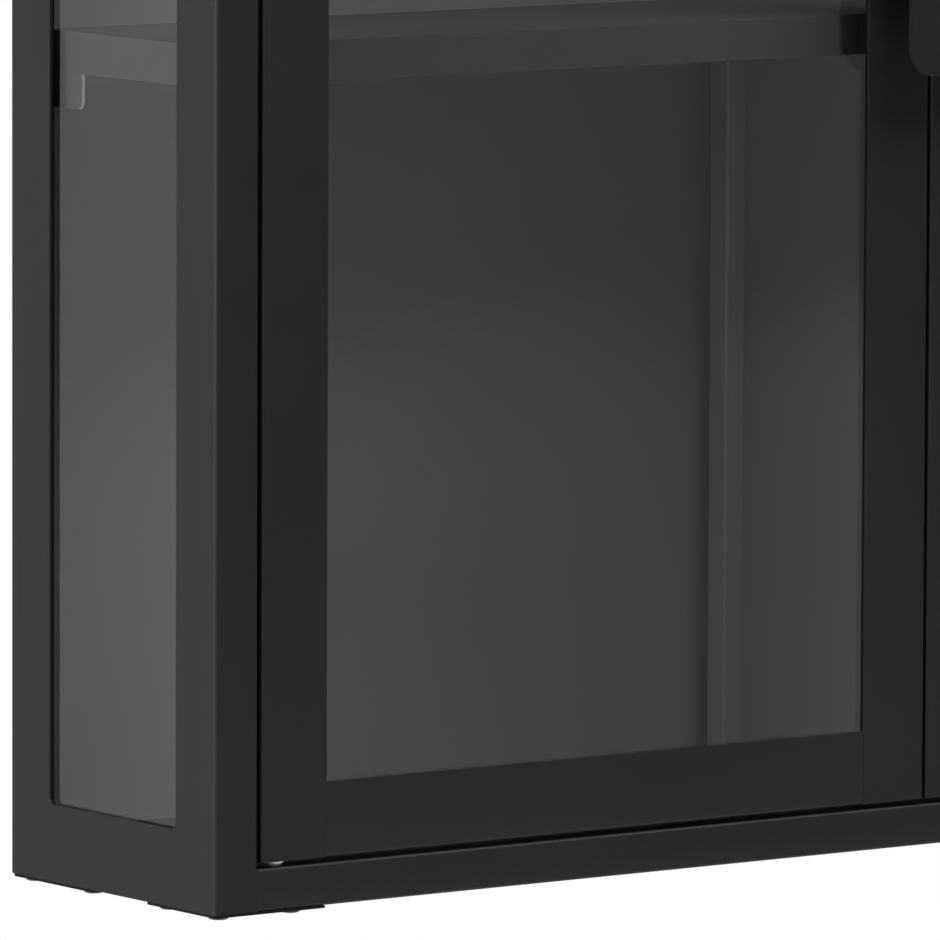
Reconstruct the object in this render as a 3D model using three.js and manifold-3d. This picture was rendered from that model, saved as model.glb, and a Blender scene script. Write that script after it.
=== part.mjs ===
// Wall mounted showcase: a shallow black steel cabinet with glazed sides, two glazed doors on pivots,
// two folded shelves and a rail at the back that hangs on the wall.
//
// Millimetres. The pieces are drawn with X across from the middle, Y back from the front face and Z up
// from the underside. The outermost group then moves the origin to the middle of the wall rail.
import * as THREE from "three";
import { mergeVertices } from "three/addons/utils/BufferGeometryUtils.js";
import Module from "manifold-3d";

// ---- Overall size of the cabinet, without the handles and the screw heads below ----
const WIDTH = 1000;
const HEIGHT = 1400;
const DEPTH = 205;

// ---- Sheet metal ----
const SHEET = 1.5;
const CORNER_INSIDE = 1; // inside radius of the cabinet's upright corners
const FOLD_INSIDE = 0.25; // inside radius of the folds along the rails, doors and shelves
const CORNER_BEND = SHEET + CORNER_INSIDE;
const RAIL_BEND = SHEET + FOLD_INSIDE;
const BEND_STEPS = 4;
const ROUND_SEGMENTS = 32;
const OVERLAP = 1; // how deep two shapes run into each other before they are joined into one piece

// ---- Side frames: one folded sheet each, with a window ----
const POST_FACE = 29.25; // width of the front post
const POST_RETURN = 38; // depth of the fold behind the front post
const FRONT_STILE = 38.75; // side face, from the front corner to the window
const REAR_STILE = 40; // side face, from the window to the wall
const SIDE_RAIL = 44; // side face, above and below the window
const WINDOW_RADIUS = 3.5;
const REAR_FLANGE = 40; // flange that lies against the wall
const REAR_CORNER_RADIUS = 3.5;
const BASE_LIP = 16; // lip folded in at the bottom, which the corner bolts hold

// ---- Glass and its seals ----
const GLASS = 4;
const GLASS_LAP = 10; // how far each pane reaches behind its frame
const SEAL_SETBACK = 0.5; // seal's inner edge, back from the edge of the window
const SEAL_RIM = 1; // pane's edge beyond the seal
const SIDE_SEAL = 2; // thickness of the seal in the sides
const DOOR_SEAL = 2.5; // thickness of the seal in the doors

// ---- Floor and roof trays ----
const RAIL_FACE = 24; // height of the rail below and above the doors
const RAIL_LIP = 45; // lip folded back along the front rail's other edge

// ---- Back ----
const BACK_SPACE = 5; // from the front of the back panels to the wall
const BACK_SEAM = 0.5; // between the two back panels
const STRIP_WIDTH = 14;
const STRIP_DEPTH = 16;

// ---- Wall rail ----
const RAIL_HEIGHT = 50;
const RAIL_PLATE = 2;
const RAIL_FLANGE = 17;
const RAIL_INSIDE = 0.5; // inside radius of the wall rail's folds
const KEYHOLE_FROM_SIDE = 100;
const KEYHOLE_HEAD_R = 5.5;
const KEYHOLE_SLOT_R = 3;
const KEYHOLE_TRAVEL = 12;

// ---- Shelves and their supports ----
const SHELF_COUNT = 2;
const SHELF_EDGE = 23.5; // height of the folded edge
const SHELF_DOOR_GAP = 11; // from the back of the closed doors to the shelf
const SHELF_SIDE_GAP = 2.5; // from the side glass to the shelf
const SHELF_BACK_GAP = 0.5; // from the joint strip to the shelf
const SHELF_NOTCH_GAP = 3; // around the fold behind the front post
const SHELF_RETURN = 15; // lip folded in under the shelf
const SUPPORT_PLATE = 2;
const SUPPORT_HEIGHT = 20;
const SUPPORT_REACH = 52; // rear support, from the back panel to its front end
const SUPPORT_FOOT = 15;
const SUPPORT_RADIUS = 5;
const SUPPORT_INSET = 0.5; // rear support, in from the shelf's end
const SUPPORT_DOOR_GAP = 9; // from the back of the closed doors to the front support
const FRONT_SUPPORT_LENGTH = 48;

// ---- Doors ----
const DOOR_DEPTH = 19;
const DOOR_SIDE_GAP = 2.5;
const DOOR_END_GAP = 3.25;
const DOOR_MIDDLE_GAP = 2;
const STILE_FACE = 44;
const DOOR_RAIL_FACE = 42.5;
const TUBE = 24; // width of the square tube behind each stile and rail
const WELD_LINE = 0.25; // joint line left open beside the free stile

// ---- Pivots ----
const PIVOT_FROM_EDGE = 13.5; // from the door's outer edge to the hinge axis
const PIVOT_BACK = 8; // from the front face to the hinge axis
const PIN_R = 2.5;
const PIN_CLEARANCE = 0.25;
const PIN_REACH = 10; // length inside the door
const PIN_TAIL = 8; // length inside the rail
const COLLAR_R = 5;
const COLLAR_HEIGHT = 2;
const PLUG_HEIGHT = 14;
const NOSE_TOP_R = 6.25;
const NOSE_TIP_R = 3.75;
const NOSE_GAP = 0.25; // between the nose and the rail

// ---- Handles ----
const HANDLE_LENGTH = 500;
const HANDLE_WIDTH = 35;
const HANDLE_PLATE = 3;
const HANDLE_STANDOFF = 27;
const HANDLE_RADIUS = 15;
const HANDLE_EDGE_RADIUS = 1;
const HANDLE_POST_R = 5;
const HANDLE_POST_SPACING = 400;
const HANDLE_SETBACK = 1; // from the door's free edge to the handle

// ---- Door catch ----
const CATCH_WIDTH = 44;
const CATCH_DEPTH = 22;
const CATCH_HEIGHT = 14;
const CATCH_GAP = 1; // between the poles and the closed doors
const POLE_WIDTH = 14;
const POLE_HEIGHT = 8;
const POLE_DEPTH = 1;
const POLE_OFFSET = 11; // from the middle of the cabinet to the middle of each pole
const STRIKE_WIDTH = 18;
const STRIKE_HEIGHT = 11;
const STRIKE_PLATE = 0.8;
const STRIKE_RADIUS = 1.5;
const STRIKE_BELOW_EDGE = 0.5; // from the door's top edge to the strike plate

// ---- Corner plates and bolts under the cabinet ----
const PLATE = 1.5;
const PLATE_ACROSS = 75;
const FRONT_PLATE_BACK = 67;
const REAR_PLATE_BACK = 82;
const REAR_PLATE_FROM_WALL = 4;
const PLATE_NARROW = 18; // width where the slanted edge starts
const BOLT_INSET = 7.5;
const REAR_BOLT_FROM_WALL = 74;
const BOLT_R = 2;
const BOLT_CLEARANCE = 0.25;
const BOLT_LENGTH = 7.5;
const HEAD_R = 6;
const HEAD_HEIGHT = 1.75;

// ---- Sizes that follow from those above ----
const HALF = WIDTH / 2;
const BACK_FACE = DEPTH - BACK_SPACE;
const SIDE_GLASS_OUT = SHEET + SIDE_SEAL;
const SIDE_GLASS_IN = SIDE_GLASS_OUT + GLASS;
const CLEAR_HEIGHT = (HEIGHT - 2 * RAIL_FACE - SHELF_COUNT * SHELF_EDGE) / (SHELF_COUNT + 1);
const WALL_RAIL_TOP = HEIGHT - RAIL_FACE;
const WALL_RAIL_BOTTOM = WALL_RAIL_TOP - RAIL_HEIGHT;
const STRIP_FRONT = BACK_FACE - STRIP_DEPTH;
const DOOR_OUTER = POST_FACE + DOOR_SIDE_GAP;
const DOOR_FREE = HALF - DOOR_MIDDLE_GAP / 2;
const PIVOT_INSET = DOOR_OUTER + PIVOT_FROM_EDGE;
const SHELF_FRONT = DOOR_DEPTH + SHELF_DOOR_GAP;
const FRONT_SUPPORT_START = DOOR_DEPTH + SUPPORT_DOOR_GAP;
const DOOR_LOW = RAIL_FACE + DOOR_END_GAP;
const DOOR_HIGH = HEIGHT - DOOR_LOW;
const DOOR_WINDOW = {
  outer: DOOR_OUTER + STILE_FACE,
  free: DOOR_FREE - STILE_FACE,
  low: DOOR_LOW + DOOR_RAIL_FACE,
  high: DOOR_HIGH - DOOR_RAIL_FACE,
};
const SIDE_WINDOW = {
  front: FRONT_STILE,
  rear: DEPTH - REAR_STILE,
  low: SIDE_RAIL,
  high: HEIGHT - SIDE_RAIL,
};

const LEFT = -1;
const RIGHT = 1;
const SIDES = [
  { sign: LEFT, name: "left" },
  { sign: RIGHT, name: "right" },
];
const ENDS = [
  { top: false, name: "bottom" },
  { top: true, name: "top" },
];

// ---- Materials ----
const BLACK_COAT = { color: 0x29292a, roughness: 0.62, metalness: 0.1 };
const BACK_COAT = { color: 0x2d2d2e, roughness: 0.6, metalness: 0.1 };
const SHELF_COAT = { color: 0x2c2c2d, roughness: 0.55, metalness: 0.1 };
const CLEAR_GLASS = { color: 0xb9c4c2, roughness: 0.05, metalness: 0, transparent: true, opacity: 0.3 };
const BLACK_RUBBER = { color: 0x121212, roughness: 0.9, metalness: 0 };
const WHITE_NYLON = { color: 0xe6e6e2, roughness: 0.45, metalness: 0 };
const BRIGHT_ZINC = { color: 0xd2d2d0, roughness: 0.25, metalness: 0.9 };
const BLACK_STEEL = { color: 0x1f1f20, roughness: 0.45, metalness: 0.6 };
const GREY_PLASTIC = { color: 0x3a3a3c, roughness: 0.55, metalness: 0 };

// ---- Joining and cutting ----
const wasm = await Module();
wasm.setup();

function toSolid(geometry) {
  const bare = geometry.clone();
  bare.deleteAttribute("normal");
  bare.deleteAttribute("uv");
  const merged = mergeVertices(bare);
  const mesh = new wasm.Mesh({
    numProp: 3,
    vertProperties: Float32Array.from(merged.attributes.position.array),
    triVerts: Uint32Array.from(merged.index.array),
  });
  return new wasm.Manifold(mesh);
}

function toGeometry(solid) {
  const mesh = solid.getMesh();
  const geometry = new THREE.BufferGeometry();
  geometry.setAttribute("position", new THREE.BufferAttribute(Float32Array.from(mesh.vertProperties), 3));
  geometry.setIndex(new THREE.BufferAttribute(Uint32Array.from(mesh.triVerts), 1));
  geometry.computeVertexNormals();
  return geometry;
}

function join(...parts) {
  return toGeometry(parts.map(toSolid).reduce((whole, part) => whole.add(part)));
}

function cut(base, ...tools) {
  return toGeometry(tools.map(toSolid).reduce((rest, tool) => rest.subtract(tool), toSolid(base)));
}

function common(first, second) {
  return toGeometry(toSolid(first).intersect(toSolid(second)));
}

// ---- Outlines ----

// Corners are [a, b] or [a, b, radius]; a corner with a radius must be square.
function outline(corners) {
  const points = [];
  corners.forEach(([a, b, radius = 0], i) => {
    const corner = new THREE.Vector2(a, b);
    if (radius === 0) {
      points.push(corner);
      return;
    }
    const before = corners[(i + corners.length - 1) % corners.length];
    const after = corners[(i + 1) % corners.length];
    const arriving = new THREE.Vector2(a - before[0], b - before[1]).normalize();
    const leaving = new THREE.Vector2(after[0] - a, after[1] - b).normalize();
    const centre = corner.clone().addScaledVector(arriving, -radius).addScaledVector(leaving, radius);
    for (let step = 0; step <= BEND_STEPS; step += 1) {
      const angle = (step / BEND_STEPS) * (Math.PI / 2);
      const point = centre.clone();
      point.addScaledVector(leaving, -radius * Math.cos(angle));
      point.addScaledVector(arriving, radius * Math.sin(angle));
      points.push(point);
    }
  });
  return points;
}

// Section of a folded sheet. The path is its outer face, and every fold turns to the left.
function foldedSheet(path, thickness, bend) {
  const outer = [];
  const inner = [];
  path.forEach((corner, i) => {
    const directions = [];
    if (i > 0) {
      directions.push([corner[0] - path[i - 1][0], corner[1] - path[i - 1][1]]);
    }
    if (i < path.length - 1) {
      directions.push([path[i + 1][0] - corner[0], path[i + 1][1] - corner[1]]);
    }
    const inside = [corner[0], corner[1]];
    directions.forEach(([da, db]) => {
      const length = Math.hypot(da, db);
      inside[0] -= (db / length) * thickness;
      inside[1] += (da / length) * thickness;
    });
    const folded = directions.length === 2;
    outer.push([corner[0], corner[1], folded ? bend : 0]);
    inner.unshift([inside[0], inside[1], folded ? bend - thickness : 0]);
  });
  return outline([...outer, ...inner]);
}

function rectangle(a0, a1, b0, b1, radius = 0) {
  return outline([[a0, b0, radius], [a1, b0, radius], [a1, b1, radius], [a0, b1, radius]]);
}

// ---- Solids ----
function box(x0, x1, y0, y1, z0, z1) {
  const geometry = new THREE.BoxGeometry(Math.abs(x1 - x0), Math.abs(y1 - y0), Math.abs(z1 - z0));
  return geometry.translate((x0 + x1) / 2, (y0 + y1) / 2, (z0 + z1) / 2);
}

function extrude(points, start, end) {
  const shape = new THREE.Shape(points);
  const geometry = new THREE.ExtrudeGeometry(shape, { depth: Math.abs(end - start), bevelEnabled: false });
  return geometry.translate(0, 0, Math.min(start, end));
}

// Section in X and Y, run along Z
function alongZ(points, z0, z1) {
  return extrude(points, z0, z1);
}

// Section in Y and Z, run along X
function alongX(points, x0, x1) {
  const turn = new THREE.Matrix4().makeBasis(
    new THREE.Vector3(0, 1, 0),
    new THREE.Vector3(0, 0, 1),
    new THREE.Vector3(1, 0, 0),
  );
  return extrude(points, x0, x1).applyMatrix4(turn);
}

// Section in Z and X, run along Y
function alongY(points, y0, y1) {
  const turn = new THREE.Matrix4().makeBasis(
    new THREE.Vector3(0, 0, 1),
    new THREE.Vector3(1, 0, 0),
    new THREE.Vector3(0, 1, 0),
  );
  return extrude(points, y0, y1).applyMatrix4(turn);
}

function uprightCylinder(x, y, z0, z1, startRadius, endRadius = startRadius) {
  const rising = z1 > z0;
  const high = rising ? endRadius : startRadius;
  const low = rising ? startRadius : endRadius;
  const geometry = new THREE.CylinderGeometry(high, low, Math.abs(z1 - z0), ROUND_SEGMENTS);
  return geometry.rotateX(Math.PI / 2).translate(x, y, (z0 + z1) / 2);
}

function levelCylinder(x, z, y0, y1, radius) {
  const geometry = new THREE.CylinderGeometry(radius, radius, Math.abs(y1 - y0), ROUND_SEGMENTS);
  return geometry.translate(x, (y0 + y1) / 2, z);
}

// ---- Places ----

// X of a point that lies a distance in from the left or right side face
function inFrom(side, distance) {
  return side.sign * (HALF - distance);
}

// Z of a point that lies a distance in from the underside or the top
function levelFrom(end, distance) {
  return end.top ? HEIGHT - distance : distance;
}

function placeAcross(side, points) {
  return points.map((point) => new THREE.Vector2(inFrom(side, point.x), point.y));
}

function piece(name, geometry, look) {
  const mesh = new THREE.Mesh(geometry, new THREE.MeshStandardMaterial(look));
  mesh.name = name;
  return mesh;
}

// ---- Side frames, glass and seals ----
function boltPlaces() {
  return [
    { row: "front", back: BOLT_INSET },
    { row: "rear", back: DEPTH - REAR_BOLT_FROM_WALL },
  ];
}

// The post's inner fold is filled and ground flat beside the rails, so that they run on flush.
function sideFrame(side) {
  const path = [
    [REAR_FLANGE, DEPTH],
    [0, DEPTH],
    [0, 0],
    [POST_FACE, 0],
    [POST_FACE, POST_RETURN],
  ];
  const sheet = alongZ(placeAcross(side, foldedSheet(path, SHEET, CORNER_BEND)), 0, HEIGHT);
  const lip = box(inFrom(side, SHEET / 2), inFrom(side, BASE_LIP), SHEET / 2, DEPTH - SHEET / 2, 0, SHEET);
  const weldFills = ENDS.map((end) => box(
    inFrom(side, POST_FACE - CORNER_BEND),
    inFrom(side, POST_FACE),
    0,
    SHEET,
    levelFrom(end, 0),
    levelFrom(end, RAIL_FACE),
  ));
  const { front, rear, low, high } = SIDE_WINDOW;
  const window = alongX(
    rectangle(front, rear, low, high, WINDOW_RADIUS),
    inFrom(side, -OVERLAP),
    inFrom(side, SHEET + OVERLAP),
  );
  const boltHoles = boltPlaces().map(({ back }) => uprightCylinder(
    inFrom(side, BOLT_INSET),
    back,
    -OVERLAP,
    SHEET + OVERLAP,
    BOLT_R + BOLT_CLEARANCE,
  ));
  const profile = outline([
    [0, 0],
    [DEPTH, 0, REAR_CORNER_RADIUS],
    [DEPTH, HEIGHT, REAR_CORNER_RADIUS],
    [0, HEIGHT],
  ]);
  const envelope = alongX(profile, inFrom(side, 0), inFrom(side, REAR_FLANGE + OVERLAP));
  return common(cut(join(sheet, lip, ...weldFills), window, ...boltHoles), envelope);
}

function sidePane(side) {
  const { front, rear, low, high } = SIDE_WINDOW;
  return box(
    inFrom(side, SIDE_GLASS_OUT),
    inFrom(side, SIDE_GLASS_IN),
    front - GLASS_LAP,
    rear + GLASS_LAP,
    low - GLASS_LAP,
    high + GLASS_LAP,
  );
}

function sideSeal(side) {
  const { front, rear, low, high } = SIDE_WINDOW;
  const reach = GLASS_LAP - SEAL_RIM;
  const rim = rectangle(front - reach, rear + reach, low - reach, high + reach);
  const hole = rectangle(
    front - SEAL_SETBACK,
    rear + SEAL_SETBACK,
    low - SEAL_SETBACK,
    high + SEAL_SETBACK,
    WINDOW_RADIUS,
  );
  const faces = [SHEET, SIDE_GLASS_OUT];
  const through = [SHEET - OVERLAP, SIDE_GLASS_OUT + OVERLAP];
  return cut(
    alongX(rim, ...faces.map((distance) => inFrom(side, distance))),
    alongX(hole, ...through.map((distance) => inFrom(side, distance))),
  );
}

function addSides(parent) {
  SIDES.forEach((side) => {
    parent.add(piece(`side_frame_${side.name}`, sideFrame(side), BLACK_COAT));
    parent.add(piece(`side_glass_${side.name}`, sidePane(side), CLEAR_GLASS));
    parent.add(piece(`side_seal_${side.name}`, sideSeal(side), BLACK_RUBBER));
  });
}

// ---- Floor and roof: a folded tray each, whose front fold is the rail ----

// The floor lies level with the top of its rail; the roof lies level with the top of the cabinet.
function traySection(end) {
  const plateReach = POST_RETURN + OVERLAP;
  const path = [
    [end.top ? RAIL_LIP : plateReach, RAIL_FACE],
    [0, RAIL_FACE],
    [0, 0],
    [end.top ? plateReach : RAIL_LIP, 0],
  ];
  return foldedSheet(path, SHEET, RAIL_BEND).map((p) => new THREE.Vector2(p.x, levelFrom(end, p.y)));
}

// Closes the top of a front post, inside its folds
function postCap(side) {
  const fold = CORNER_BEND - SHEET;
  const corners = outline([
    [SHEET, SHEET, fold],
    [POST_FACE - SHEET, SHEET, fold],
    [POST_FACE - SHEET, POST_RETURN + OVERLAP],
    [SHEET, POST_RETURN + OVERLAP],
  ]);
  return alongZ(placeAcross(side, corners), HEIGHT - SHEET, HEIGHT);
}

function tray(end) {
  const railEnd = HALF - POST_FACE;
  const plateEnd = HALF - SHEET;
  const front = alongX(traySection(end), -railEnd, railEnd);
  const plateLevels = end.top ? [0, SHEET] : [RAIL_FACE, RAIL_FACE - SHEET];
  const foldLevels = end.top ? [0, RAIL_FACE] : [RAIL_FACE, SHEET];
  const [plateOut, plateIn] = plateLevels.map((distance) => levelFrom(end, distance));
  const [foldStart, foldEnd] = foldLevels.map((distance) => levelFrom(end, distance));
  const plate = box(-plateEnd, plateEnd, POST_RETURN, BACK_FACE, plateOut, plateIn);
  const rearFold = box(-plateEnd, plateEnd, BACK_FACE - SHEET, BACK_FACE, foldStart, foldEnd);
  const sideFolds = SIDES.map((side) => box(
    inFrom(side, SHEET),
    inFrom(side, 2 * SHEET),
    POST_RETURN,
    BACK_FACE,
    foldStart,
    foldEnd,
  ));
  const caps = end.top ? SIDES.map(postCap) : [];
  const pinHoles = SIDES.map((side) => uprightCylinder(
    inFrom(side, PIVOT_INSET),
    PIVOT_BACK,
    levelFrom(end, RAIL_FACE - SHEET - OVERLAP),
    levelFrom(end, RAIL_FACE + OVERLAP),
    PIN_R + PIN_CLEARANCE,
  ));
  return cut(join(front, plate, rearFold, ...sideFolds, ...caps), ...pinHoles);
}

function addTrays(parent) {
  ENDS.forEach((end) => parent.add(piece(`${end.name}_tray`, tray(end), BLACK_COAT)));
}

// ---- Back panels, the strip over their joint and the wall rail ----
function backPanel(side) {
  const seamEdge = HALF - BACK_SEAM / 2;
  const wallFace = DEPTH - SHEET;
  const path = [
    [CORNER_BEND, wallFace],
    [CORNER_BEND, BACK_FACE],
    [seamEdge, BACK_FACE],
    [seamEdge, wallFace],
  ];
  const section = placeAcross(side, foldedSheet(path, SHEET, RAIL_BEND));
  return alongZ(section, SHEET, WALL_RAIL_BOTTOM);
}

function jointStrip() {
  const half = STRIP_WIDTH / 2;
  const path = [
    [-half, BACK_FACE],
    [-half, STRIP_FRONT],
    [half, STRIP_FRONT],
    [half, BACK_FACE],
  ];
  return alongZ(foldedSheet(path, SHEET, RAIL_BEND), RAIL_FACE, WALL_RAIL_BOTTOM);
}

function keyhole(x, middle) {
  const y0 = DEPTH - RAIL_PLATE - OVERLAP;
  const y1 = DEPTH + OVERLAP;
  const low = middle - KEYHOLE_TRAVEL / 2;
  const high = middle + KEYHOLE_TRAVEL / 2;
  const mouth = levelCylinder(x, low, y0, y1, KEYHOLE_HEAD_R);
  const seat = levelCylinder(x, high, y0, y1, KEYHOLE_SLOT_R);
  const slot = box(x - KEYHOLE_SLOT_R, x + KEYHOLE_SLOT_R, y0, y1, low, high);
  return join(mouth, seat, slot);
}

function wallRail() {
  const end = HALF - REAR_FLANGE;
  const middle = (WALL_RAIL_TOP + WALL_RAIL_BOTTOM) / 2;
  const path = [
    [DEPTH - RAIL_FLANGE, WALL_RAIL_BOTTOM],
    [DEPTH, WALL_RAIL_BOTTOM],
    [DEPTH, WALL_RAIL_TOP],
    [DEPTH - RAIL_FLANGE, WALL_RAIL_TOP],
  ];
  const channel = alongX(foldedSheet(path, RAIL_PLATE, RAIL_PLATE + RAIL_INSIDE), -end, end);
  const keyholes = SIDES.map((side) => keyhole(inFrom(side, KEYHOLE_FROM_SIDE), middle));
  return cut(channel, ...keyholes);
}

function addBack(parent) {
  SIDES.forEach((side) => parent.add(piece(`back_panel_${side.name}`, backPanel(side), BACK_COAT)));
  parent.add(piece("back_joint_strip", jointStrip(), BACK_COAT));
  parent.add(piece("wall_rail", wallRail(), BLACK_COAT));
}

// ---- Shelves: a tray with notched front corners, on four supports ----
function shelfOutline(inset) {
  const end = HALF - SIDE_GLASS_IN - SHELF_SIDE_GAP - inset;
  const front = SHELF_FRONT + inset;
  const rear = STRIP_FRONT - SHELF_BACK_GAP - inset;
  const notchEnd = HALF - POST_FACE - SUPPORT_PLATE - SHELF_NOTCH_GAP - inset;
  const notchRear = POST_RETURN + SHELF_NOTCH_GAP + inset;
  return outline([
    [-notchEnd, front],
    [notchEnd, front],
    [notchEnd, notchRear],
    [end, notchRear],
    [end, rear],
    [-end, rear],
    [-end, notchRear],
    [-notchEnd, notchRear],
  ]);
}

function shelf() {
  const block = alongZ(shelfOutline(0), 0, SHELF_EDGE);
  const hollow = alongZ(shelfOutline(SHEET), SHEET, SHELF_EDGE - SHEET);
  const mouth = alongZ(shelfOutline(SHELF_RETURN), -OVERLAP, SHEET + OVERLAP);
  return cut(block, hollow, mouth);
}

// A bent tab that stands on the back panel and reaches forward under the shelf's end
function rearSupport(side) {
  const near = SIDE_GLASS_IN + SHELF_SIDE_GAP + SUPPORT_INSET;
  const front = BACK_FACE - SUPPORT_REACH;
  const arm = alongX(
    outline([
      [front, -SUPPORT_HEIGHT, SUPPORT_RADIUS],
      [BACK_FACE, -SUPPORT_HEIGHT],
      [BACK_FACE, 0],
      [front, 0],
    ]),
    inFrom(side, near),
    inFrom(side, near + SUPPORT_PLATE),
  );
  const foot = box(
    inFrom(side, near + SUPPORT_PLATE / 2),
    inFrom(side, near + SUPPORT_FOOT),
    BACK_FACE - SUPPORT_PLATE,
    BACK_FACE,
    -SUPPORT_HEIGHT,
    0,
  );
  return join(arm, foot);
}

// A flat tab on the inner face of the front post
function frontSupport(side) {
  const front = FRONT_SUPPORT_START;
  const rear = FRONT_SUPPORT_START + FRONT_SUPPORT_LENGTH;
  return alongX(
    outline([
      [front, -SUPPORT_HEIGHT],
      [rear, -SUPPORT_HEIGHT, SUPPORT_RADIUS],
      [rear, 0],
      [front, 0],
    ]),
    inFrom(side, POST_FACE),
    inFrom(side, POST_FACE + SUPPORT_PLATE),
  );
}

function addShelves(parent) {
  ["lower", "upper"].forEach((level, i) => {
    const group = new THREE.Group();
    group.position.z = RAIL_FACE + CLEAR_HEIGHT + i * (CLEAR_HEIGHT + SHELF_EDGE);
    group.add(piece(`shelf_${level}`, shelf(), SHELF_COAT));
    SIDES.forEach((side) => {
      group.add(piece(`shelf_${level}_support_rear_${side.name}`, rearSupport(side), SHELF_COAT));
      group.add(piece(`shelf_${level}_support_front_${side.name}`, frontSupport(side), SHELF_COAT));
    });
    parent.add(group);
  });
}

// ---- Corner plates and bolts under the cabinet ----
function cornerPlate(side, row) {
  const isFront = row === "front";
  const edge = isFront ? 0 : DEPTH - REAR_PLATE_FROM_WALL;
  const farEdge = isFront ? FRONT_PLATE_BACK : DEPTH - REAR_PLATE_BACK;
  const inward = isFront ? 1 : -1;
  const corners = outline([
    [0, edge],
    [PLATE_ACROSS, edge],
    [PLATE_ACROSS, edge + inward * PLATE_NARROW],
    [PLATE_NARROW, farEdge],
    [0, farEdge],
  ]);
  const back = boltPlaces().find((place) => place.row === row).back;
  const x = inFrom(side, BOLT_INSET);
  const hole = uprightCylinder(x, back, -PLATE - OVERLAP, OVERLAP, BOLT_R + BOLT_CLEARANCE);
  return cut(alongZ(placeAcross(side, corners), -PLATE, 0), hole);
}

// Domed head below the plate, shank through the plate and the side frame's lip
function bolt() {
  const profile = [];
  for (let step = 0; step <= BEND_STEPS; step += 1) {
    const angle = (step / BEND_STEPS) * (Math.PI / 2);
    profile.push(new THREE.Vector2(HEAD_R * Math.sin(angle), -HEAD_HEIGHT * Math.cos(angle)));
  }
  profile[0].x = 0;
  profile[BEND_STEPS].y = 0;
  profile.push(new THREE.Vector2(BOLT_R, 0));
  profile.push(new THREE.Vector2(BOLT_R, BOLT_LENGTH));
  profile.push(new THREE.Vector2(0, BOLT_LENGTH));
  return new THREE.LatheGeometry(profile, ROUND_SEGMENTS).rotateX(Math.PI / 2);
}

function addCorners(parent) {
  SIDES.forEach((side) => {
    boltPlaces().forEach(({ row, back }) => {
      parent.add(piece(`corner_plate_${row}_${side.name}`, cornerPlate(side, row), BLACK_STEEL));
      const mesh = piece(`corner_bolt_${row}_${side.name}`, bolt(), BLACK_STEEL);
      mesh.position.set(inFrom(side, BOLT_INSET), back, -PLATE);
      parent.add(mesh);
    });
  });
}

// ---- Pivot pins, fixed in the floor and roof trays ----
function pivotPin(side, end) {
  const x = inFrom(side, PIVOT_INSET);
  const sheetIn = RAIL_FACE - SHEET;
  const shank = uprightCylinder(
    x,
    PIVOT_BACK,
    levelFrom(end, RAIL_FACE - PIN_TAIL),
    levelFrom(end, DOOR_LOW + PIN_REACH),
    PIN_R,
  );
  const collar = uprightCylinder(
    x,
    PIVOT_BACK,
    levelFrom(end, sheetIn - COLLAR_HEIGHT),
    levelFrom(end, sheetIn),
    COLLAR_R,
  );
  return join(shank, collar);
}

function addPins(parent) {
  SIDES.forEach((side) => {
    ENDS.forEach((end) => {
      parent.add(piece(`pivot_pin_${end.name}_${side.name}`, pivotPin(side, end), BRIGHT_ZINC));
    });
  });
}

// ---- Double magnetic catch under the roof ----
function doorCatch() {
  const front = DOOR_DEPTH + CATCH_GAP;
  const bodyFront = front + POLE_DEPTH;
  const top = HEIGHT - RAIL_FACE;
  const middle = top - CATCH_HEIGHT / 2;
  const half = CATCH_WIDTH / 2;
  const body = box(-half, half, bodyFront, bodyFront + CATCH_DEPTH, top - CATCH_HEIGHT, top);
  const poles = SIDES.map((side) => box(
    side.sign * (POLE_OFFSET - POLE_WIDTH / 2),
    side.sign * (POLE_OFFSET + POLE_WIDTH / 2),
    front,
    bodyFront + OVERLAP,
    middle - POLE_HEIGHT / 2,
    middle + POLE_HEIGHT / 2,
  ));
  return join(body, ...poles);
}

// ---- Doors ----
// Section of a stile or rail: a tube with a flange in front that laps the glass.
// Each corner is the distance in from the door's edge, then the distance back from its front face.
function memberCorners(face) {
  return [
    [0, 0, RAIL_BEND],
    [face, 0],
    [face, SHEET],
    [TUBE, SHEET],
    [TUBE, DOOR_DEPTH],
    [0, DOOR_DEPTH, RAIL_BEND],
  ];
}

function stile(side, edge, inward) {
  const place = (p) => new THREE.Vector2(inFrom(side, edge + inward * p.x), p.y);
  const section = outline(memberCorners(STILE_FACE)).map(place);
  const bore = rectangle(SHEET, TUBE - SHEET, SHEET, DOOR_DEPTH - SHEET).map(place);
  return cut(alongZ(section, DOOR_LOW, DOOR_HIGH), alongZ(bore, DOOR_LOW - OVERLAP, DOOR_HIGH + OVERLAP));
}

function doorRail(side, end) {
  const place = (p) => new THREE.Vector2(p.y, levelFrom(end, DOOR_LOW + p.x));
  const section = outline(memberCorners(DOOR_RAIL_FACE)).map(place);
  const flangeEnds = [DOOR_WINDOW.outer, DOOR_WINDOW.free - WELD_LINE].map((d) => inFrom(side, d));
  const tubeEnds = [DOOR_OUTER + TUBE, DOOR_FREE - TUBE];
  const tube = rectangle(0, TUBE, SHEET, DOOR_DEPTH).map(place);
  const bore = rectangle(SHEET, TUBE - SHEET, 2 * SHEET, DOOR_DEPTH - SHEET).map(place);
  const boreEnds = [tubeEnds[0] - OVERLAP, tubeEnds[1] + OVERLAP];
  const solid = join(
    alongX(section, ...flangeEnds),
    alongX(tube, ...tubeEnds.map((d) => inFrom(side, d))),
  );
  return cut(solid, alongX(bore, ...boreEnds.map((d) => inFrom(side, d))));
}

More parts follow.
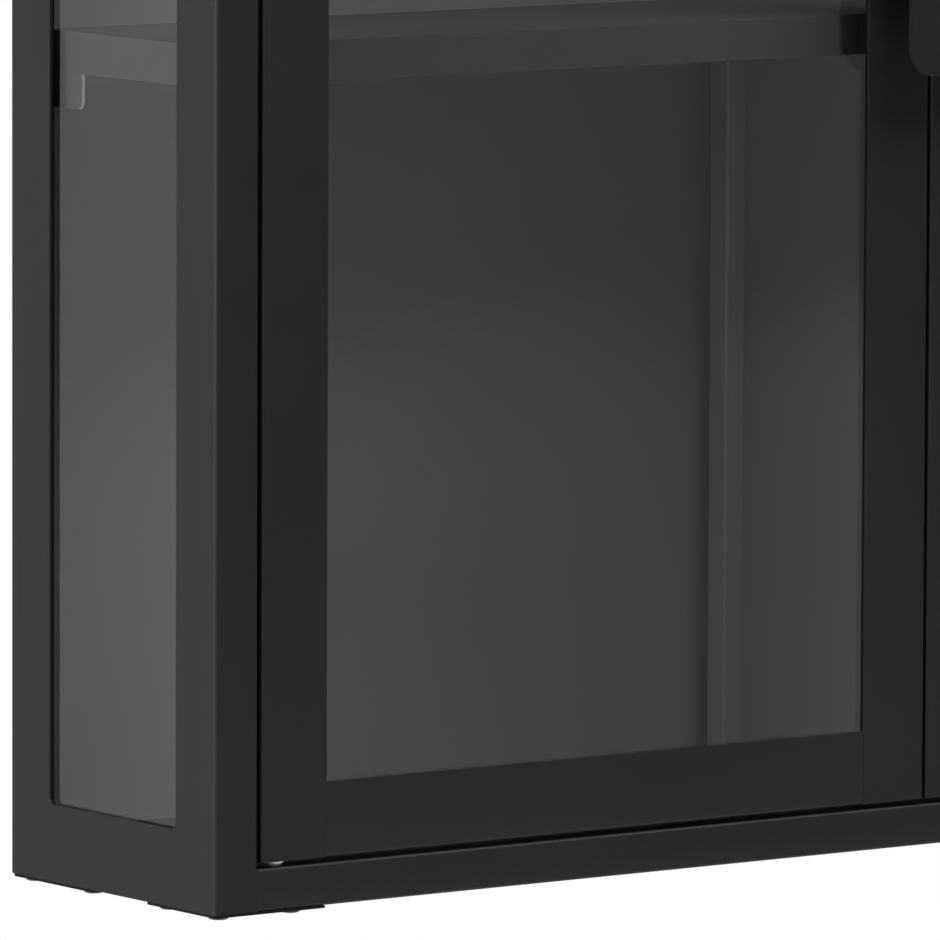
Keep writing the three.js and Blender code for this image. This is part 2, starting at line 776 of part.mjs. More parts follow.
function doorPane(side) {
  const { outer, free, low, high } = DOOR_WINDOW;
  const front = SHEET + DOOR_SEAL;
  return box(
    inFrom(side, outer - GLASS_LAP),
    inFrom(side, free + GLASS_LAP),
    front,
    front + GLASS,
    low - GLASS_LAP,
    high + GLASS_LAP,
  );
}

function doorSeal(side) {
  const { outer, free, low, high } = DOOR_WINDOW;
  const slab = (reach, front, rear) => box(
    inFrom(side, outer - reach),
    inFrom(side, free + reach),
    front,
    rear,
    low - reach,
    high + reach,
  );
  const rear = SHEET + DOOR_SEAL;
  return cut(slab(GLASS_LAP - SEAL_RIM, SHEET, rear), slab(SEAL_SETBACK, SHEET - OVERLAP, rear + OVERLAP));
}

// Plug in the end of the hinge stile, with a tapered nose that turns on the pin
function pivotPlug(side, end) {
  const x = inFrom(side, PIVOT_INSET);
  const doorEnd = levelFrom(end, DOOR_LOW);
  const block = box(
    inFrom(side, DOOR_OUTER + SHEET),
    inFrom(side, DOOR_OUTER + TUBE - SHEET),
    SHEET,
    DOOR_DEPTH - SHEET,
    doorEnd,
    levelFrom(end, DOOR_LOW + PLUG_HEIGHT),
  );
  const nose = uprightCylinder(
    x,
    PIVOT_BACK,
    levelFrom(end, RAIL_FACE + NOSE_GAP),
    doorEnd,
    NOSE_TIP_R,
    NOSE_TOP_R,
  );
  const neck = uprightCylinder(x, PIVOT_BACK, doorEnd, levelFrom(end, DOOR_LOW + OVERLAP), NOSE_TIP_R);
  const bore = uprightCylinder(
    x,
    PIVOT_BACK,
    levelFrom(end, RAIL_FACE - OVERLAP),
    levelFrom(end, DOOR_LOW + PIN_REACH + OVERLAP),
    PIN_R + PIN_CLEARANCE,
  );
  return cut(join(block, nose, neck), bore);
}

function handlePlate(side) {
  const free = DOOR_FREE - HANDLE_SETBACK;
  const outer = free - HANDLE_WIDTH;
  const low = (HEIGHT - HANDLE_LENGTH) / 2;
  const high = (HEIGHT + HANDLE_LENGTH) / 2;
  const corners = outline([
    [low, inFrom(side, outer), HANDLE_RADIUS],
    [high, inFrom(side, outer), HANDLE_RADIUS],
    [high, inFrom(side, free), HANDLE_EDGE_RADIUS],
    [low, inFrom(side, free), HANDLE_EDGE_RADIUS],
  ]);
  return alongY(corners, -HANDLE_STANDOFF, -HANDLE_STANDOFF - HANDLE_PLATE);
}

// Thin steel plate on the back of the door, which meets the catch's pole
function strikePlate(side) {
  const middle = side.sign * POLE_OFFSET;
  const high = DOOR_HIGH - STRIKE_BELOW_EDGE;
  const corners = rectangle(
    high - STRIKE_HEIGHT,
    high,
    middle - STRIKE_WIDTH / 2,
    middle + STRIKE_WIDTH / 2,
    STRIKE_RADIUS,
  );
  return alongY(corners, DOOR_DEPTH, DOOR_DEPTH + STRIKE_PLATE);
}

function addDoor(parent, side) {
  const prefix = `${side.name}_door`;
  const axisX = inFrom(side, PIVOT_INSET);
  const hinge = new THREE.Group();
  hinge.position.set(axisX, PIVOT_BACK, 0);
  const leaf = new THREE.Group();
  leaf.position.set(-axisX, -PIVOT_BACK, 0);
  hinge.add(leaf);
  parent.add(hinge);

  leaf.add(piece(`${prefix}_hinge_stile`, stile(side, DOOR_OUTER, 1), BLACK_COAT));
  leaf.add(piece(`${prefix}_free_stile`, stile(side, DOOR_FREE, -1), BLACK_COAT));
  leaf.add(piece(`${prefix}_glass`, doorPane(side), CLEAR_GLASS));
  leaf.add(piece(`${prefix}_seal`, doorSeal(side), BLACK_RUBBER));
  ENDS.forEach((end) => {
    leaf.add(piece(`${prefix}_${end.name}_rail`, doorRail(side, end), BLACK_COAT));
    leaf.add(piece(`${prefix}_pivot_plug_${end.name}`, pivotPlug(side, end), WHITE_NYLON));
  });

  leaf.add(piece(`${prefix}_handle_plate`, handlePlate(side), BLACK_COAT));
  [{ name: "lower", sign: -1 }, { name: "upper", sign: 1 }].forEach((post) => {
    const x = inFrom(side, DOOR_FREE - HANDLE_SETBACK - HANDLE_WIDTH / 2);
    const z = HEIGHT / 2 + (post.sign * HANDLE_POST_SPACING) / 2;
    const stud = levelCylinder(x, z, -HANDLE_STANDOFF, 0, HANDLE_POST_R);
    leaf.add(piece(`${prefix}_handle_post_${post.name}`, stud, BLACK_STEEL));
  });
  leaf.add(piece(`${prefix}_strike_plate`, strikePlate(side), BRIGHT_ZINC));
}

// ---- The whole showcase ----
const cabinet = new THREE.Group();
addSides(cabinet);
addTrays(cabinet);
addBack(cabinet);
addShelves(cabinet);
addCorners(cabinet);
addPins(cabinet);
cabinet.add(piece("door_catch", doorCatch(), GREY_PLASTIC));
SIDES.forEach((side) => addDoor(cabinet, side));
cabinet.position.set(0, -DEPTH, -(WALL_RAIL_TOP + WALL_RAIL_BOTTOM) / 2);

const showcase = new THREE.Group();
showcase.name = "wall_mounted_showcase";
showcase.add(cabinet);

export default showcase;
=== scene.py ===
import math

import bpy
from mathutils import Matrix, Vector


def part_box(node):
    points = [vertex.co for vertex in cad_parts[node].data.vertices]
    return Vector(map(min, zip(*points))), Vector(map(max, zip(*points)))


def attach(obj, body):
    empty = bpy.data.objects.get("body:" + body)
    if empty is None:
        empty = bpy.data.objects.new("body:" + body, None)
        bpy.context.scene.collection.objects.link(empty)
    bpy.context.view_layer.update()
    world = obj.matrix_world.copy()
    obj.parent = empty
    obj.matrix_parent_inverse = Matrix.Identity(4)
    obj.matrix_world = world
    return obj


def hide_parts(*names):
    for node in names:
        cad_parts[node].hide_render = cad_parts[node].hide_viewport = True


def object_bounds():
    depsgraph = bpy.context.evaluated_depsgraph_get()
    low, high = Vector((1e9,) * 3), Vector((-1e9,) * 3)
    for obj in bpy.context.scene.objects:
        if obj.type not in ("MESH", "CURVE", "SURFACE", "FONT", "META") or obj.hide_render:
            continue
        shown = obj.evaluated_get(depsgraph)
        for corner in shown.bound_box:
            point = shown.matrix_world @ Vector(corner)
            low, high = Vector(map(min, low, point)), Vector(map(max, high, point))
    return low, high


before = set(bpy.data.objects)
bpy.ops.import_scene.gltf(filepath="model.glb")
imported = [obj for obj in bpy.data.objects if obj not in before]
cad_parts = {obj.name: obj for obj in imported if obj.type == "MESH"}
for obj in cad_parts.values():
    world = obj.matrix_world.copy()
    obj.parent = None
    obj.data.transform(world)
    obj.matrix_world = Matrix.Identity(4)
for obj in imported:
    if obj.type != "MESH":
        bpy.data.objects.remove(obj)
CAD_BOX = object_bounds()

# ---- Camera: where it stands from the cabinet's lower front left corner, in metres ----
CAMERA_FROM_CORNER = Vector((-3.66625, -5.30457, 0.96188))
CAMERA_YAW = math.radians(35.9)
CAMERA_PITCH = math.radians(6.30)
CAMERA_ROLL = math.radians(0.238)
CAMERA_LENS = 449.0
CAMERA_SENSOR = 36.0
CAMERA_CLIP = (0.1, 200.0)

# ---- Studio ----
BACKGROUND = 1.0  # what the camera sees behind the object
BRIGHT_SIDE = Vector((-0.74, 0.66, 0.12))  # direction of the white end of the studio
BRIGHT_LIGHT = 0.64
BRIGHT_FROM = 0.85  # cosine to the bright side, where the full level starts
DIM_LIGHT = 0.17
DIM_UP_TO = -0.75  # cosine up to which it stays dim
FLOOR_DROP = 1.0
FLOOR_RADIUS = 3.0
FLOOR_STEPS = 96
FLOOR_LEVEL = 0.85
FLOOR_ROUGHNESS = 0.8
KEY_FROM = Vector((0.9, -2.7, 3.8))
KEY_SIZE = (4.2, 2.8)
KEY_POWER = 430.0
FILL_FROM = Vector((-3.6, 0.1, 0.8))
FILL_SIZE = (2.5, 2.5)
FILL_POWER = 190.0

# ---- Edges of the CAD pieces, in metres and radians ----
WELD_DISTANCE = 0.00001
EDGE_ROUNDING = 0.0003
EDGE_ANGLE = math.radians(30)
EDGE_SEGMENTS = 2

# ---- Textures of the finishes: noise cells per metre, and heights in metres ----
NOISE_MIDDLE = (0.3, 0.7)  # the range that most of a noise lies in
BROAD_CELLS = 7.0
BROAD_DETAIL = 4.0
BROAD_SPREAD = 0.07  # how far the shade wanders from its middle
SCUFF_CELLS = 46.0
SCUFF_DETAIL = 8.0
SCUFF_RANGE = (0.66, 0.78)
SCUFF_SHARE = 0.10
SCUFF_LIGHTER = 2.2
SCUFF_SMOOTHER = 0.05
COAT_GRAIN = 1900.0
COAT_GRAIN_HEIGHT = 0.00003
COAT_GRAIN_STRENGTH = 0.35
COAT_GLOSS_SPREAD = 0.04
TURNING_CELLS = 2600.0
TURNING_HEIGHT = 0.00002
TURNING_STRENGTH = 0.3
TARNISH_CELLS = 220.0
TARNISH_DARKER = 0.82
TARNISH_WARMTH = 0.02
TARNISH_GLOSS = (-0.05, 0.08)
PLATED_WARMTH = 0.01
MOULD_BROAD_CELLS = 60.0
MOULD_SHADES = (0.88, 1.1)
MOULD_GRAIN = 1400.0
MOULD_GRAIN_HEIGHT = 0.00004
MOULD_GRAIN_STRENGTH = 0.4
MOULD_GLOSS_SPREAD = 0.06
RIM_FACING = (0.75, 0.55)  # how squarely a face looks along X, from coated face to the rim painted bright as a highlight
TAB_ROUGHNESS = (0.60, 0.35)  # of the coated face and of the rim painted as a highlight
# painted highlight on the tab rims: its shade wanders down to this share of the highlight level
RIM_HIGHLIGHT_DARKER = 0.8
TAB_SHEEN = 0.2

# ---- Glass ----
GLASS_MIRROR = 0.081  # share mirrored by both faces of a pane seen head on
GLASS_TINT = 0.965
GLASS_ROUGHNESS = 0.03
GRAZING_POWER = 5.0
DUST_CELLS = 14.0
DUST_SIZE = 0.012
DUST_LEFT_OUT = 0.62
DUST_LEVEL = 0.35

# ---- Shapes of the heads and washers: shares of their radius or height ----
SCREW_STEPS = 36  # points in each ring
SOCKET_ACROSS = 0.75  # across the socket's flats, as a share of the head's radius
SOCKET_WALL = 0.94
SOCKET_LIP = 0.90
SOCKET_FLOOR = 0.30
DOME_RIM = 0.52
DOME_START = 0.12
DOME_RISE = 0.84
DOME_SHARES = (0.92, 0.80, 0.66)
SEAT_SHARE = 0.97
WASHER_SIDE = 0.3
WASHER_RIM = 0.95
WASHER_BORE = 0.30

# ---- Small fastenings, in metres ----
UNDER_HEAD_RADIUS = 0.006
UNDER_HEAD_HEIGHT = 0.00175
PLATE_SCREW_INSET = 0.0075
PLATE_SCREW_ACROSS = 0.056
PLATE_SCREW_BACK = 0.055
REAR_SCREW_INSET = 0.011
PAN_RADIUS = 0.0035
PAN_HEIGHT = 0.0016
BACK_SCREW_HEIGHT = 0.0012
BACK_SCREW_ABOVE = 0.0125
BACK_SCREW_PLACES = (0.06, 0.20, 0.34, 0.45)
HANDLE_SCREW_RADIUS = 0.0045
HANDLE_SCREW_HEIGHT = 0.0022
WASHER_RADIUS = 0.007
WASHER_HEIGHT = 0.0008
SUPPORT_SCREW_DROP = 0.010
SUPPORT_SCREW_INSET = 0.005
REAR_SUPPORT_SHIFT = 0.001
SUPPORT_PLATE = 0.002
PANEL_SHEET = 0.0015
CATCH_SCREW_INSET = 0.006
CATCH_SCREW_BACK = 0.001


# ---- Node helpers ----
class Nodes:
    """Adds nodes to one tree and joins them."""

    def __init__(self, tree):
        self.tree = tree
        tree.nodes.clear()

    def add(self, kind, inputs=None, **settings):
        node = self.tree.nodes.new(kind)
        for name, value in settings.items():
            setattr(node, name, value)
        for name, value in (inputs or {}).items():
            self.feed(node.inputs[name], value)
        return node

    def feed(self, socket, value):
        if isinstance(value, bpy.types.NodeSocket):
            self.tree.links.new(value, socket)
        else:
            socket.default_value = value

    def noise(self, vector, scale, detail=2.0):
        node = self.add("ShaderNodeTexNoise", {"Vector": vector, "Scale": scale, "Detail": detail})
        return node.outputs["Fac"]

    def between(self, value, low, high, to_low, to_high):
        node = self.add("ShaderNodeMapRange", {
            "Value": value,
            "From Min": low,
            "From Max": high,
            "To Min": to_low,
            "To Max": to_high,
        })
        return node.outputs["Result"]

    def math(self, operation, first, second=0.0):
        node = self.add("ShaderNodeMath", operation=operation)
        self.feed(node.inputs[0], first)
        self.feed(node.inputs[1], second)
        return node.outputs[0]

    def mix_colour(self, share, first, second):
        """Mixes colours: sockets 6 and 7 hold them, and output 2 is the result."""
        node = self.add("ShaderNodeMix", data_type="RGBA")
        self.feed(node.inputs[0], share)
        self.feed(node.inputs[6], first)
        self.feed(node.inputs[7], second)
        return node.outputs[2]

    def bump(self, height, strength, distance):
        node = self.add("ShaderNodeBump", {"Height": height, "Strength": strength, "Distance": distance})
        return node.outputs["Normal"]

    def surface(self, shader):
        out = self.add("ShaderNodeOutputMaterial")
        self.feed(out.inputs["Surface"], shader)

    def finish(self, inputs):
        self.surface(self.add("ShaderNodeBsdfPrincipled", inputs).outputs["BSDF"])


def grey(level, warm=0.0):
    return (level * (1 + warm), level, level * (1 - warm), 1.0)


def new_material(name):
    material = bpy.data.materials.new(name)
    material.use_nodes = True
    return material, Nodes(material.node_tree)


# ---- Materials ----
def coated_metal(name, level, roughness, sheen=0.5, grain=COAT_GRAIN, metallic=0.0):
    """Powder coat or paint: a fine grain, uneven gloss and faint scuffs."""
    material, nodes = new_material(name)
    place = nodes.add("ShaderNodeTexCoord").outputs["Object"]
    broad = nodes.noise(place, BROAD_CELLS, BROAD_DETAIL)
    rubbed = nodes.noise(place, SCUFF_CELLS, SCUFF_DETAIL)
    scuffs = nodes.between(rubbed, *SCUFF_RANGE, 0.0, 1.0)
    scuff_share = nodes.math("MULTIPLY", scuffs, SCUFF_SHARE)
    shade = nodes.mix_colour(broad, grey(level * (1 - BROAD_SPREAD)), grey(level * (1 + BROAD_SPREAD)))
    low, high = roughness - COAT_GLOSS_SPREAD, roughness + COAT_GLOSS_SPREAD
    gloss = nodes.between(broad, *NOISE_MIDDLE, low, high)
    nodes.finish({
        "Base Color": nodes.mix_colour(scuff_share, shade, grey(level * SCUFF_LIGHTER)),
        "Roughness": nodes.math("SUBTRACT", gloss, nodes.math("MULTIPLY", scuffs, SCUFF_SMOOTHER)),
        "Metallic": metallic,
        "Specular IOR Level": sheen,
        "Normal": nodes.bump(nodes.noise(place, grain), COAT_GRAIN_STRENGTH, COAT_GRAIN_HEIGHT),
    })
    return material


def bare_metal(name, level, roughness):
    """Plated steel with fine turning marks and a little tarnish."""
    material, nodes = new_material(name)
    place = nodes.add("ShaderNodeTexCoord").outputs["Object"]
    tarnish = nodes.noise(place, TARNISH_CELLS, BROAD_DETAIL)
    dull, bright = grey(level * TARNISH_DARKER, TARNISH_WARMTH), grey(level, PLATED_WARMTH)
    low, high = roughness + TARNISH_GLOSS[0], roughness + TARNISH_GLOSS[1]
    nodes.finish({
        "Base Color": nodes.mix_colour(tarnish, dull, bright),
        "Roughness": nodes.between(tarnish, *NOISE_MIDDLE, low, high),
        "Metallic": 1.0,
        "Normal": nodes.bump(nodes.noise(place, TURNING_CELLS), TURNING_STRENGTH, TURNING_HEIGHT),
    })
    return material


def clear_glass(name):
    """Thin clear glass: the near face mirrors, more so at grazing angles; a few specks of dust."""
    material, nodes = new_material(name)
    place = nodes.add("ShaderNodeTexCoord").outputs["Object"]
    facing = nodes.add("ShaderNodeLayerWeight", {"Blend": 0.5}).outputs["Facing"]
    grazing = nodes.math("POWER", facing, GRAZING_POWER)
    near_face = nodes.math("SUBTRACT", 1.0, nodes.add("ShaderNodeNewGeometry").outputs["Backfacing"])
    mirror = nodes.math("MULTIPLY", near_face, nodes.between(grazing, 0.0, 1.0, GLASS_MIRROR, 1.0))
    clear = nodes.add("ShaderNodeBsdfTransparent", {"Color": grey(GLASS_TINT)})
    gloss = nodes.add("ShaderNodeBsdfGlossy", {"Color": grey(1.0), "Roughness": GLASS_ROUGHNESS})
    pane = nodes.add("ShaderNodeMixShader", {"Fac": mirror})
    nodes.feed(pane.inputs[1], clear.outputs[0])
    nodes.feed(pane.inputs[2], gloss.outputs[0])
    cells = nodes.add("ShaderNodeTexVoronoi", {"Vector": place, "Scale": DUST_CELLS})
    speck = nodes.math("LESS_THAN", cells.outputs["Distance"], DUST_SIZE)
    chosen = nodes.math("GREATER_THAN", cells.outputs["Color"], DUST_LEFT_OUT)
    dust = nodes.add("ShaderNodeBsdfDiffuse", {"Color": grey(DUST_LEVEL)})
    dusty = nodes.add("ShaderNodeMixShader", {"Fac": nodes.math("MULTIPLY", speck, chosen)})
    nodes.feed(dusty.inputs[1], pane.outputs[0])
    nodes.feed(dusty.inputs[2], dust.outputs[0])
    nodes.surface(dusty.outputs[0])
    return material


def moulded(name, level, roughness, sheen=0.5):
    """Moulded plastic or rubber: a soft fine texture and slightly uneven gloss."""
    material, nodes = new_material(name)
    place = nodes.add("ShaderNodeTexCoord").outputs["Object"]
    broad = nodes.noise(place, MOULD_BROAD_CELLS, BROAD_DETAIL)
    dark, light = [grey(level * share) for share in MOULD_SHADES]
    low, high = roughness - MOULD_GLOSS_SPREAD, roughness + MOULD_GLOSS_SPREAD
    nodes.finish({
        "Base Color": nodes.mix_colour(broad, dark, light),
        "Roughness": nodes.between(broad, *NOISE_MIDDLE, low, high),
        "Specular IOR Level": sheen,
        "Normal": nodes.bump(nodes.noise(place, MOULD_GRAIN), MOULD_GRAIN_STRENGTH, MOULD_GRAIN_HEIGHT),
    })
    return material


def rim_highlight_painted(name, face_level, highlight_level):
    """Dark coated sheet standing square to X, with a painted highlight: its rim, where faces turn away
    from X, is painted bright.
    """
    material, nodes = new_material(name)
    place = nodes.add("ShaderNodeTexCoord")
    across = nodes.add("ShaderNodeSeparateXYZ", {"Vector": place.outputs["Normal"]}).outputs["X"]
    fine = nodes.noise(place.outputs["Object"], COAT_GRAIN)
    # the mask of the painted highlight: faces turned away from X
    edge = nodes.between(nodes.math("ABSOLUTE", across), *RIM_FACING, 0.0, 1.0)
    highlight_shade = nodes.mix_colour(fine, grey(highlight_level * RIM_HIGHLIGHT_DARKER), grey(highlight_level))
    nodes.finish({
        "Base Color": nodes.mix_colour(edge, grey(face_level), highlight_shade),
        "Roughness": nodes.between(edge, 0.0, 1.0, *TAB_ROUGHNESS),
        "Specular IOR Level": TAB_SHEEN,
        "Normal": nodes.bump(fine, COAT_GRAIN_STRENGTH, COAT_GRAIN_HEIGHT),
    })
    return material


FINISHES = {
    "black_coat": coated_metal("black_coat", 0.0062, 0.52, sheen=0.23),
    "back_coat": coated_metal("back_coat", 0.074, 0.60, grain=1500.0),
    "shelf_coat": coated_metal("shelf_coat", 0.026, 0.62, sheen=0.12),
    "clear_glass": clear_glass("clear_glass"),
    "black_rubber": moulded("black_rubber", 0.003, 0.80, sheen=0.06),
    "white_nylon": moulded("white_nylon", 0.80, 0.45),
    "bright_zinc": bare_metal("bright_zinc", 0.80, 0.24),
    "black_steel": coated_metal("black_steel", 0.018, 0.38, grain=2400.0, metallic=0.5),
    "dark_steel": coated_metal("dark_steel", 0.004, 0.60, sheen=0.08, grain=2400.0),
    # painted highlight on the rims of the rear shelf supports, over a dark coated face
    "rim_highlight_painted": rim_highlight_painted("rim_highlight_painted", 0.026, 0.45),
    "grey_plastic": moulded("grey_plastic", 0.045, 0.50),
}


def finish_for(name, slot):
    """The slot's own finish, except on two kinds of piece: the corner plates get a darker steel, and the
    rear shelf supports get a rim painted bright as a highlight.
    """
    if name.startswith("corner_plate"):
        return FINISHES["dark_steel"]
    if "support_rear" in name:
        return FINISHES["rim_highlight_painted"]
    return FINISHES[slot]


def finish_nodes():
    for name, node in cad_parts.items():
        for slot in node.material_slots:
            slot.material = finish_for(name, slot.material.name.split(".")[0])


# ---- Edges: every sharp edge of a CAD piece is a little rounded ----
def smooth_by_angle():
    tree = bpy.data.node_groups.new("smooth_by_angle", "GeometryNodeTree")
    tree.interface.new_socket("Geometry", in_out="INPUT", socket_type="NodeSocketGeometry")
    tree.interface.new_socket("Geometry", in_out="OUTPUT", socket_type="NodeSocketGeometry")
    start = tree.nodes.new("NodeGroupInput")
    end = tree.nodes.new("NodeGroupOutput")
    faces = tree.nodes.new("GeometryNodeSetShadeSmooth")
    faces.domain = "FACE"
    edges = tree.nodes.new("GeometryNodeSetShadeSmooth")
    edges.domain = "EDGE"
    edges.inputs["Shade Smooth"].default_value = False
    angle = tree.nodes.new("GeometryNodeInputMeshEdgeAngle")
    sharp = tree.nodes.new("FunctionNodeCompare")
    sharp.inputs[1].default_value = EDGE_ANGLE
    tree.links.new(angle.outputs["Unsigned Angle"], sharp.inputs[0])
    tree.links.new(start.outputs[0], faces.inputs["Geometry"])
    tree.links.new(faces.outputs["Geometry"], edges.inputs["Geometry"])
    tree.links.new(sharp.outputs[0], edges.inputs["Selection"])
    tree.links.new(edges.outputs["Geometry"], end.inputs[0])
    return tree


SMOOTHING = smooth_by_angle()


def soften(piece):
    """Welds, shades smooth and rounds the edges, all in modifiers."""
    weld = piece.modifiers.new("weld", "WELD")
    weld.merge_threshold = WELD_DISTANCE
    smooth = piece.modifiers.new("smooth", "NODES")
    smooth.node_group = SMOOTHING
    bevel = piece.modifiers.new("edges", "BEVEL")
    bevel.width = EDGE_ROUNDING
    bevel.segments = EDGE_SEGMENTS
    bevel.limit_method = "ANGLE"
    bevel.angle_limit = EDGE_ANGLE
    bevel.harden_normals = True


def soften_nodes():
    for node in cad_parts.values():
        soften(node)


# ---- Screws: domed heads with a six-sided socket, and washers ----
def ring_at(shape, size, height):
    """Points of one ring: round, or six-sided with that size across its flats."""
    points = []
    for step in range(SCREW_STEPS):
        angle = 2 * math.pi * step / SCREW_STEPS
        reach = size
        if shape == "hex":
            reach = size / 2 / math.cos((angle % (math.pi / 3)) - math.pi / 6)
        points.append((reach * math.cos(angle), reach * math.sin(angle), height))
    return points


def head_rings(radius, height):
    """A dome from its seat up to the edge of the socket, then down into the socket."""
    socket = radius * SOCKET_ACROSS
    rings = [ring_at("round", radius * SEAT_SHARE, 0.0), ring_at("round", radius, height * DOME_START)]
    for share in DOME_SHARES:
        rise = math.sqrt(1 - ((share - DOME_RIM) / (1 - DOME_RIM)) ** 2)
        rings.append(ring_at("round", radius * share, height * (DOME_START + DOME_RISE * rise)))
    rings.append(ring_at("round", radius * DOME_RIM, height))
    rings.append(ring_at("hex", socket, height))
    rings.append(ring_at("hex", socket * SOCKET_WALL, height * SOCKET_LIP))
    rings.append(ring_at("hex", socket * SOCKET_WALL, height * SOCKET_FLOOR))
    return rings


def washer_rings(radius, height):
    return [
        ring_at("round", radius * SEAT_SHARE, 0.0),
        ring_at("round", radius, height * WASHER_SIDE),
        ring_at("round", radius * WASHER_RIM, height),
        ring_at("round", radius * WASHER_BORE, height),
    ]


def lofted(name, rings):
    """A closed mesh through rings of points, with a flat face across the first and the last."""
    mesh = bpy.data.meshes.new(name)
    points = [point for ring in rings for point in ring]
    faces = []
    for row in range(len(rings) - 1):
        for step in range(SCREW_STEPS):
            after = (step + 1) % SCREW_STEPS
            low, high = row * SCREW_STEPS, (row + 1) * SCREW_STEPS
            faces.append((low + step, low + after, high + after, high + step))
    last = (len(rings) - 1) * SCREW_STEPS
    faces.append(tuple(range(SCREW_STEPS - 1, -1, -1)))
    faces.append(tuple(range(last, last + SCREW_STEPS)))
    mesh.from_pydata(points, [], faces)
    return mesh


def place_part(name, mesh, place, facing, body, slot):
    """Puts a small part with its seat at place and its head pointing along facing."""
    piece = bpy.data.objects.new(name, mesh)
    bpy.context.scene.collection.objects.link(piece)
    piece.location = place
    piece.rotation_euler = Vector(facing).to_track_quat("Z", "Y").to_euler()
    if not mesh.materials:
        mesh.materials.append(FINISHES[slot])
    smooth = piece.modifiers.new("smooth", "NODES")
    smooth.node_group = SMOOTHING
    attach(piece, body)
    return piece


DOWN, UP, FRONT, BACK = (0, 0, -1), (0, 0, 1), (0, -1, 0), (0, 1, 0)
SIDES = (("left", -1), ("right", 1))


def add_plate_screws():
    """Heads under the corner plates: one stands for each CAD bolt, and two more hold each plate."""
    mesh = lofted("plate_screw", head_rings(UNDER_HEAD_RADIUS, UNDER_HEAD_HEIGHT))
    for side, sign in SIDES:
        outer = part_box(f"side_frame_{side}")
        edge = outer[0].x if sign < 0 else outer[1].x
        for row in ("front", "rear"):
            low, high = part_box(f"corner_plate_{row}_{side}")
            if row == "front":
                spots = [
                    (PLATE_SCREW_ACROSS, low.y + PLATE_SCREW_INSET),
                    (PLATE_SCREW_INSET, low.y + PLATE_SCREW_BACK),
                ]
            else:
                spots = [
                    (PLATE_SCREW_ACROSS, high.y - PLATE_SCREW_INSET),
                    (PLATE_SCREW_INSET, high.y - REAR_SCREW_INSET),
                ]
            for number, (inset, y) in enumerate(spots, 1):
                name = f"plate_screw_{row}_{side}_{number}"
                place = (edge - sign * inset, y, low.z)
                place_part(name, mesh, place, DOWN, "cabinet", "black_steel")
            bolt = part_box(f"corner_bolt_{row}_{side}")
            middle = (bolt[0] + bolt[1]) / 2
            place = (middle.x, middle.y, low.z)
            head = place_part(f"bolt_head_{row}_{side}", mesh, place, DOWN, "cabinet", "black_steel")
            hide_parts(f"corner_bolt_{row}_{side}")


def add_handle_screws():
    """A washer and a pan head behind each handle post, on the back of the door."""
    washer = lofted("handle_washer", washer_rings(WASHER_RADIUS, WASHER_HEIGHT))
    head = lofted("handle_screw", head_rings(HANDLE_SCREW_RADIUS, HANDLE_SCREW_HEIGHT))
    for side, _ in SIDES:
        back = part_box(f"{side}_door_free_stile")[1].y
        for end in ("lower", "upper"):
            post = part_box(f"{side}_door_handle_post_{end}")
            middle = (post[0] + post[1]) / 2
            seat = Vector((middle.x, back, middle.z))
            top = seat + Vector((0, WASHER_HEIGHT, 0))
            body = f"{side}_door"
            place_part(f"handle_washer_{side}_{end}", washer, seat, BACK, body, "bright_zinc")
            place_part(f"handle_screw_{side}_{end}", head, top, BACK, body, "black_steel")


def add_support_screws():
    mesh = lofted("support_screw", head_rings(PAN_RADIUS, PAN_HEIGHT))
    for side, sign in SIDES:
        for level in ("lower", "upper"):
            low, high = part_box(f"shelf_{level}_support_front_{side}")
            inner = high.x if sign < 0 else low.x
            spot = (inner, low.y + SUPPORT_SCREW_INSET, high.z - SUPPORT_SCREW_DROP)
            name = f"support_screw_front_{level}_{side}"
            place_part(name, mesh, spot, (-sign, 0, 0), "cabinet", "black_steel")
            low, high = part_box(f"shelf_{level}_support_rear_{side}")
            across = (low.x + high.x) / 2 - sign * REAR_SUPPORT_SHIFT
            spot = (across, high.y - SUPPORT_PLATE, high.z - SUPPORT_SCREW_DROP)
            name = f"support_screw_rear_{level}_{side}"
            place_part(name, mesh, spot, FRONT, "cabinet", "black_steel")


def add_back_screws():
    """Low heads behind the back panels, along the fold of the floor tray."""
    mesh = lofted("back_screw", head_rings(PAN_RADIUS, BACK_SCREW_HEIGHT))
    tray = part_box("bottom_tray")
    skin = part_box("back_panel_left")[0].y + PANEL_SHEET
    for side, sign in SIDES:
        for number, across in enumerate(BACK_SCREW_PLACES, 1):
            place = (sign * across, skin, tray[0].z + BACK_SCREW_ABOVE)
            place_part(f"back_screw_{side}_{number}", mesh, place, BACK, "cabinet", "black_steel")


def add_catch_screws():
    mesh = lofted("catch_screw", head_rings(PAN_RADIUS, PAN_HEIGHT))
    low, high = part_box("door_catch")
    for side, sign in SIDES:
        place = (sign * (high.x - CATCH_SCREW_INSET), (low.y + high.y) / 2 + CATCH_SCREW_BACK, low.z)
        place_part(f"catch_screw_{side}", mesh, place, DOWN, "cabinet", "bright_zinc")


# ---- Camera, light and floor ----
def add_camera():
    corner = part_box("side_frame_left")[0].copy()
    corner.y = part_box("bottom_tray")[0].y
    data = bpy.data.cameras.new("camera")
    data.lens = CAMERA_LENS
    data.sensor_width = CAMERA_SENSOR
    data.clip_start, data.clip_end = CAMERA_CLIP
    camera = bpy.data.objects.new("camera", data)
    turn = Matrix.Rotation(-CAMERA_YAW, 4, "Z")
    tilt = Matrix.Rotation(math.pi / 2 - CAMERA_PITCH, 4, "X")
    roll = Matrix.Rotation(CAMERA_ROLL, 4, "Z")
    camera.matrix_world = Matrix.Translation(corner + CAMERA_FROM_CORNER) @ turn @ tilt @ roll
    bpy.context.scene.collection.objects.link(camera)
    bpy.context.scene.camera = camera


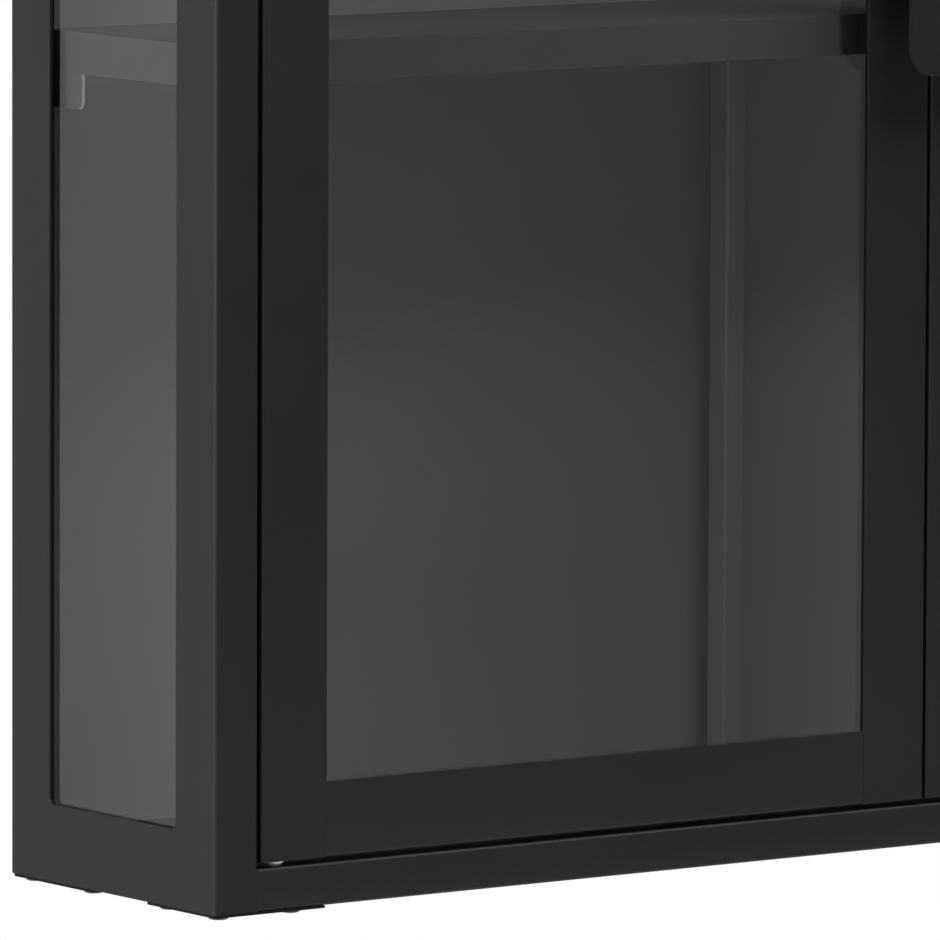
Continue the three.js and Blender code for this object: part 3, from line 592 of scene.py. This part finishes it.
def add_world():
    world = bpy.data.worlds.new("studio")
    world.use_nodes = True
    bpy.context.scene.world = world
    nodes = Nodes(world.node_tree)
    direction = nodes.add("ShaderNodeTexCoord").outputs["Generated"]
    toward = nodes.add("ShaderNodeVectorMath", operation="DOT_PRODUCT")
    nodes.feed(toward.inputs[0], direction)
    nodes.feed(toward.inputs[1], BRIGHT_SIDE.normalized())
    level = nodes.add("ShaderNodeMapRange", {
        "Value": toward.outputs["Value"],
        "From Min": DIM_UP_TO,
        "From Max": BRIGHT_FROM,
        "To Min": DIM_LIGHT,
        "To Max": BRIGHT_LIGHT,
    }, interpolation_type="SMOOTHSTEP")
    seen = nodes.add("ShaderNodeLightPath").outputs["Is Camera Ray"]
    strength = nodes.add("ShaderNodeMix", data_type="FLOAT")
    nodes.feed(strength.inputs[0], seen)
    nodes.feed(strength.inputs[2], level.outputs["Result"])
    nodes.feed(strength.inputs[3], BACKGROUND)
    light = nodes.add("ShaderNodeBackground", {"Color": grey(1.0), "Strength": strength.outputs[0]})
    out = nodes.add("ShaderNodeOutputWorld")
    nodes.feed(out.inputs["Surface"], light.outputs[0])


def add_area(name, place, size, power):
    data = bpy.data.lights.new(name, "AREA")
    data.shape = "RECTANGLE"
    data.size, data.size_y = size
    data.energy = power
    light = bpy.data.objects.new(name, data)
    middle = (Vector(CAD_BOX[0]) + Vector(CAD_BOX[1])) / 2
    light.location = middle + place
    light.rotation_euler = (-place).to_track_quat("-Z", "Y").to_euler()
    light.visible_camera = False
    bpy.context.scene.collection.objects.link(light)


def add_floor():
    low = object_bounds()[0]
    bpy.ops.mesh.primitive_circle_add(
        vertices=FLOOR_STEPS,
        radius=FLOOR_RADIUS,
        fill_type="NGON",
        location=(0.0, 0.0, low[2] - FLOOR_DROP),
    )
    floor = bpy.context.object
    floor.name = "floor"
    material, nodes = new_material("pale_floor")
    nodes.finish({"Base Color": grey(FLOOR_LEVEL), "Roughness": FLOOR_ROUGHNESS})
    floor.data.materials.append(material)


finish_nodes()
soften_nodes()
add_plate_screws()
add_handle_screws()
add_support_screws()
add_back_screws()
add_catch_screws()
add_camera()
add_world()
add_area("key_light", KEY_FROM, KEY_SIZE, KEY_POWER)
add_area("fill_light", FILL_FROM, FILL_SIZE, FILL_POWER)
add_floor()
bpy.context.scene.view_settings.view_transform = "Standard"
